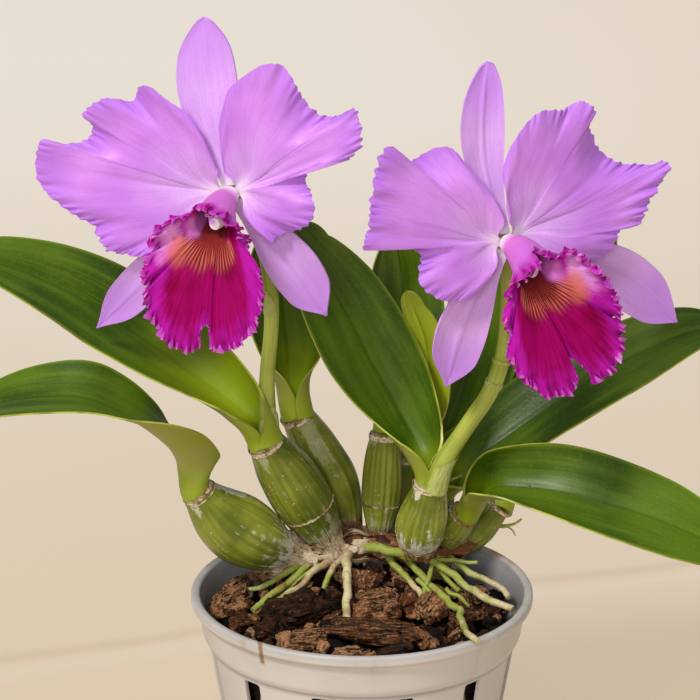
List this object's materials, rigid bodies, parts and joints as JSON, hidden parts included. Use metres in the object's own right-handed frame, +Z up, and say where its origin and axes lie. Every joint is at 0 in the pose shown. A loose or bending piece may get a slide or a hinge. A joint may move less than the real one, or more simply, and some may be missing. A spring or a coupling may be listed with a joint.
{
  "type": "potted orchid",
  "caption": "Cattleya orchid in flower on its ribbed pseudobulbs with strap leaves and roots, growing in bark in a slotted round plastic pot.",
  "frame": {"origin": "middle of the pot's base, on the surface that the pot stands on", "axes": "+Z up; +X to the right and +Y to the back when the plant is seen from its front, where both blooms face the viewer"},
  "size_m": [0.3743, 0.1894, 0.403],
  "materials": {
    "pot": "warm light grey moulded plastic, satin",
    "bark": "dark brown orchid bark, rough",
    "rhizome": "creeping stem in papery brown husks",
    "root": "green root with a silvery skin, matt",
    "bulb": "ribbed green pseudobulb, satin, with papery remains",
    "leaf": "thick glossy green leaf",
    "young_leaf": "young yellow-green leaf, glossy",
    "stalk": "smooth yellow-green flower stalk",
    "petal": "lavender pink petal, soft matt",
    "sepal": "lavender pink sepal, soft matt",
    "lip": "crimson magenta lip with an orange throat",
    "column": "waxy white column"
  },
  "bodies": {
    "root": {"pot": "pot", "potting_bark": "bark", "rhizome": "rhizome", "pseudobulb_1": "bulb", "pseudobulb_2": "bulb", "pseudobulb_3": "bulb", "pseudobulb_4": "bulb", "pseudobulb_5": "bulb", "pseudobulb_6": "bulb", "pseudobulb_7": "bulb", "pseudobulb_8": "bulb", "new_shoot": "bulb", "root_01": "root", "root_02": "root", "root_03": "root", "root_04": "root", "root_05": "root", "root_06": "root", "root_07": "root", "root_08": "root", "root_09": "root", "root_10": "root", "flower_stalk_1": "stalk", "flower_stalk_2": "stalk", "leaf_1": "leaf", "leaf_2": "leaf", "leaf_3": "leaf", "leaf_4": "leaf", "leaf_5": "leaf", "leaf_6": "leaf", "leaf_7": "leaf", "leaf_8": "leaf", "leaf_9": "leaf", "young_leaf": "young_leaf", "bloom_1_petal_left": "petal", "bloom_1_petal_right": "petal", "bloom_1_sepal_dorsal": "sepal", "bloom_1_sepal_left": "sepal", "bloom_1_sepal_right": "sepal", "bloom_1_lip": "lip", "bloom_1_column": "column", "bloom_2_petal_left": "petal", "bloom_2_petal_right": "petal", "bloom_2_sepal_dorsal": "sepal", "bloom_2_sepal_left": "sepal", "bloom_2_sepal_right": "sepal", "bloom_2_lip": "lip", "bloom_2_column": "column"}
  },
  "joints": []
}
